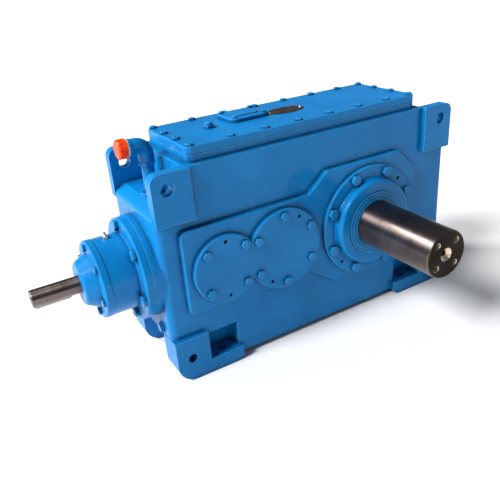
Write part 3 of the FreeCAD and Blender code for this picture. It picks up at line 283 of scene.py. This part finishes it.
cast_paint = enamel("cast_paint", 0.9, 0.8, BLUE_DEEP, BLUE_BRIGHT, BLUE_EDGE_HIGHLIGHT)
cover_paint = enamel("cover_paint", 0.35, 0.7, BLUE_DEEP, BLUE_BRIGHT, BLUE_EDGE_HIGHLIGHT)
bolt_paint = enamel("bolt_paint", 0.25, 0.4, BLUE_DEEP, BOLT_BRIGHT, BLUE_EDGE_HIGHLIGHT)
output_steel = turned_steel(
    "output_steel", "Y", (OUTPUT_X, AXIS_HEIGHT), STEEL_DARK, STEEL_LIGHT, *SHAFT_ROUGH, OUTPUT_FACE_Y)
input_steel = turned_steel("input_steel", "X", (0.0, AXIS_HEIGHT), STEEL_DARK, STEEL_LIGHT, *SHAFT_ROUGH)
middle_steel = turned_steel("middle_steel", "Y", (MIDDLE_X, AXIS_HEIGHT), GEAR_DARK, GEAR_LIGHT, *INNER_ROUGH)
bevel_steel = turned_steel("bevel_steel", "Y", (BEVEL_X, AXIS_HEIGHT), GEAR_DARK, GEAR_LIGHT, *INNER_ROUGH)
gear_steel = plain_metal("gear_steel", GEAR_DARK, GEAR_LIGHT, 0.28, 0.42)
bearing_steel = plain_metal(
    "bearing_steel", (0.62, 0.62, 0.64, 1.0), (0.80, 0.80, 0.82, 1.0), 0.10, 0.20)
key_steel = plain_metal("key_steel", (0.20, 0.19, 0.19, 1.0), (0.36, 0.35, 0.35, 1.0), 0.30, 0.44)
zinc = plain_metal("zinc", (0.50, 0.50, 0.50, 1.0), (0.72, 0.72, 0.70, 1.0), 0.22, 0.36, 90.0)
seal_rubber = rubber("seal_rubber")
gasket = gasket_paper("gasket_paper")
bronze_plate = bronze("bronze_plate")
cap_orange = moulded("cap_orange", (0.78, 0.040, 0.001, 1.0), (0.92, 0.065, 0.002, 1.0), 0.30, 0.44)
pale_plastic = moulded(
    "pale_plastic", (0.72, 0.74, 0.76, 1.0), (0.85, 0.86, 0.86, 1.0), 0.22, 0.34)

BY_SLOT = {
    "blue_paint": cover_paint,
    "bolt_paint": bolt_paint,
    "shaft_steel": output_steel,
    "gear_steel": gear_steel,
    "bearing_steel": bearing_steel,
    "key_steel": key_steel,
    "zinc_steel": zinc,
    "seal_rubber": seal_rubber,
    "gasket_paper": gasket,
    "bronze_plate": bronze_plate,
    "orange_plastic": cap_orange,
    "clear_plastic": pale_plastic,
}
BY_NODE = {
    "housing": cast_paint,
    "input_cartridge": cast_paint,
    "input_shaft": input_steel,
    "intermediate_shaft": middle_steel,
    "bevel_shaft": bevel_steel,
}

for part in frame["record"]["subparts"]:
    name = part["node"]
    mesh = NODES[name].data
    mesh.materials.clear()
    mesh.materials.append(BY_NODE.get(name, BY_SLOT[part["material_slot"]]))


# Floor, light and camera

FLOOR_HALF = 150.0
LENS = 42.09                # millimetres, on a 36 mm sensor
CAMERA_PLACE = (-0.678, -1.030, 0.766)
CAMERA_RIGHT = (0.85583864, -0.51173058, -0.07531293)
CAMERA_UP = (0.28718054, 0.34900925, 0.89203132)
CAMERA_BACK = (-0.4301948, -0.78506328, 0.44565467)


def floor():
    """A wide pale sheet at the height of the feet."""
    mesh = bpy.data.meshes.new("floor")
    signs = [(-1, -1), (1, -1), (1, 1), (-1, 1)]
    corners = [(x * FLOOR_HALF, y * FLOOR_HALF, 0) for x, y in signs]
    mesh.from_pydata(corners, [], [(0, 1, 2, 3)])
    made = bpy.data.objects.new("floor", mesh)
    bpy.context.scene.collection.objects.link(made)
    t = Tree("floor_paper")
    colour = t.blend(t.noise(3.0, 3.0), (0.86, 0.86, 0.86, 1.0), (0.89, 0.89, 0.89, 1.0))
    mesh.materials.append(t.finish(colour, 0.9))


def sun_light(name, direction, spread, strength):
    """Parallel soft light that comes from this direction."""
    data = bpy.data.lights.new(name, "SUN")
    data.angle = spread
    data.energy = strength
    made = bpy.data.objects.new(name, data)
    made.rotation_euler = Vector(direction).to_track_quat("Z", "Y").to_euler()
    bpy.context.scene.collection.objects.link(made)


def world_light(strength):
    world = bpy.data.worlds.new("studio")
    world.use_nodes = True
    background = world.node_tree.nodes["Background"]
    background.inputs["Color"].default_value = WHITE
    background.inputs["Strength"].default_value = strength
    bpy.context.scene.world = world


def camera():
    data = bpy.data.cameras.new("camera")
    data.sensor_width = 36.0
    data.lens = LENS
    data.clip_start, data.clip_end = 0.05, 50.0
    made = bpy.data.objects.new("camera", data)
    turn = Matrix((CAMERA_RIGHT, CAMERA_UP, CAMERA_BACK)).transposed().to_4x4()
    made.matrix_world = Matrix.Translation(CAMERA_PLACE) @ turn
    bpy.context.scene.collection.objects.link(made)
    bpy.context.scene.camera = made


floor()
world_light(0.15)
sun_light("key", (-2.2, -0.20, 1.85), spread=0.40, strength=5.0)
sun_light("back", (-0.60, 0.45, 0.66), spread=0.20, strength=2.6)
camera()
bpy.context.scene.view_settings.view_transform = "Standard"
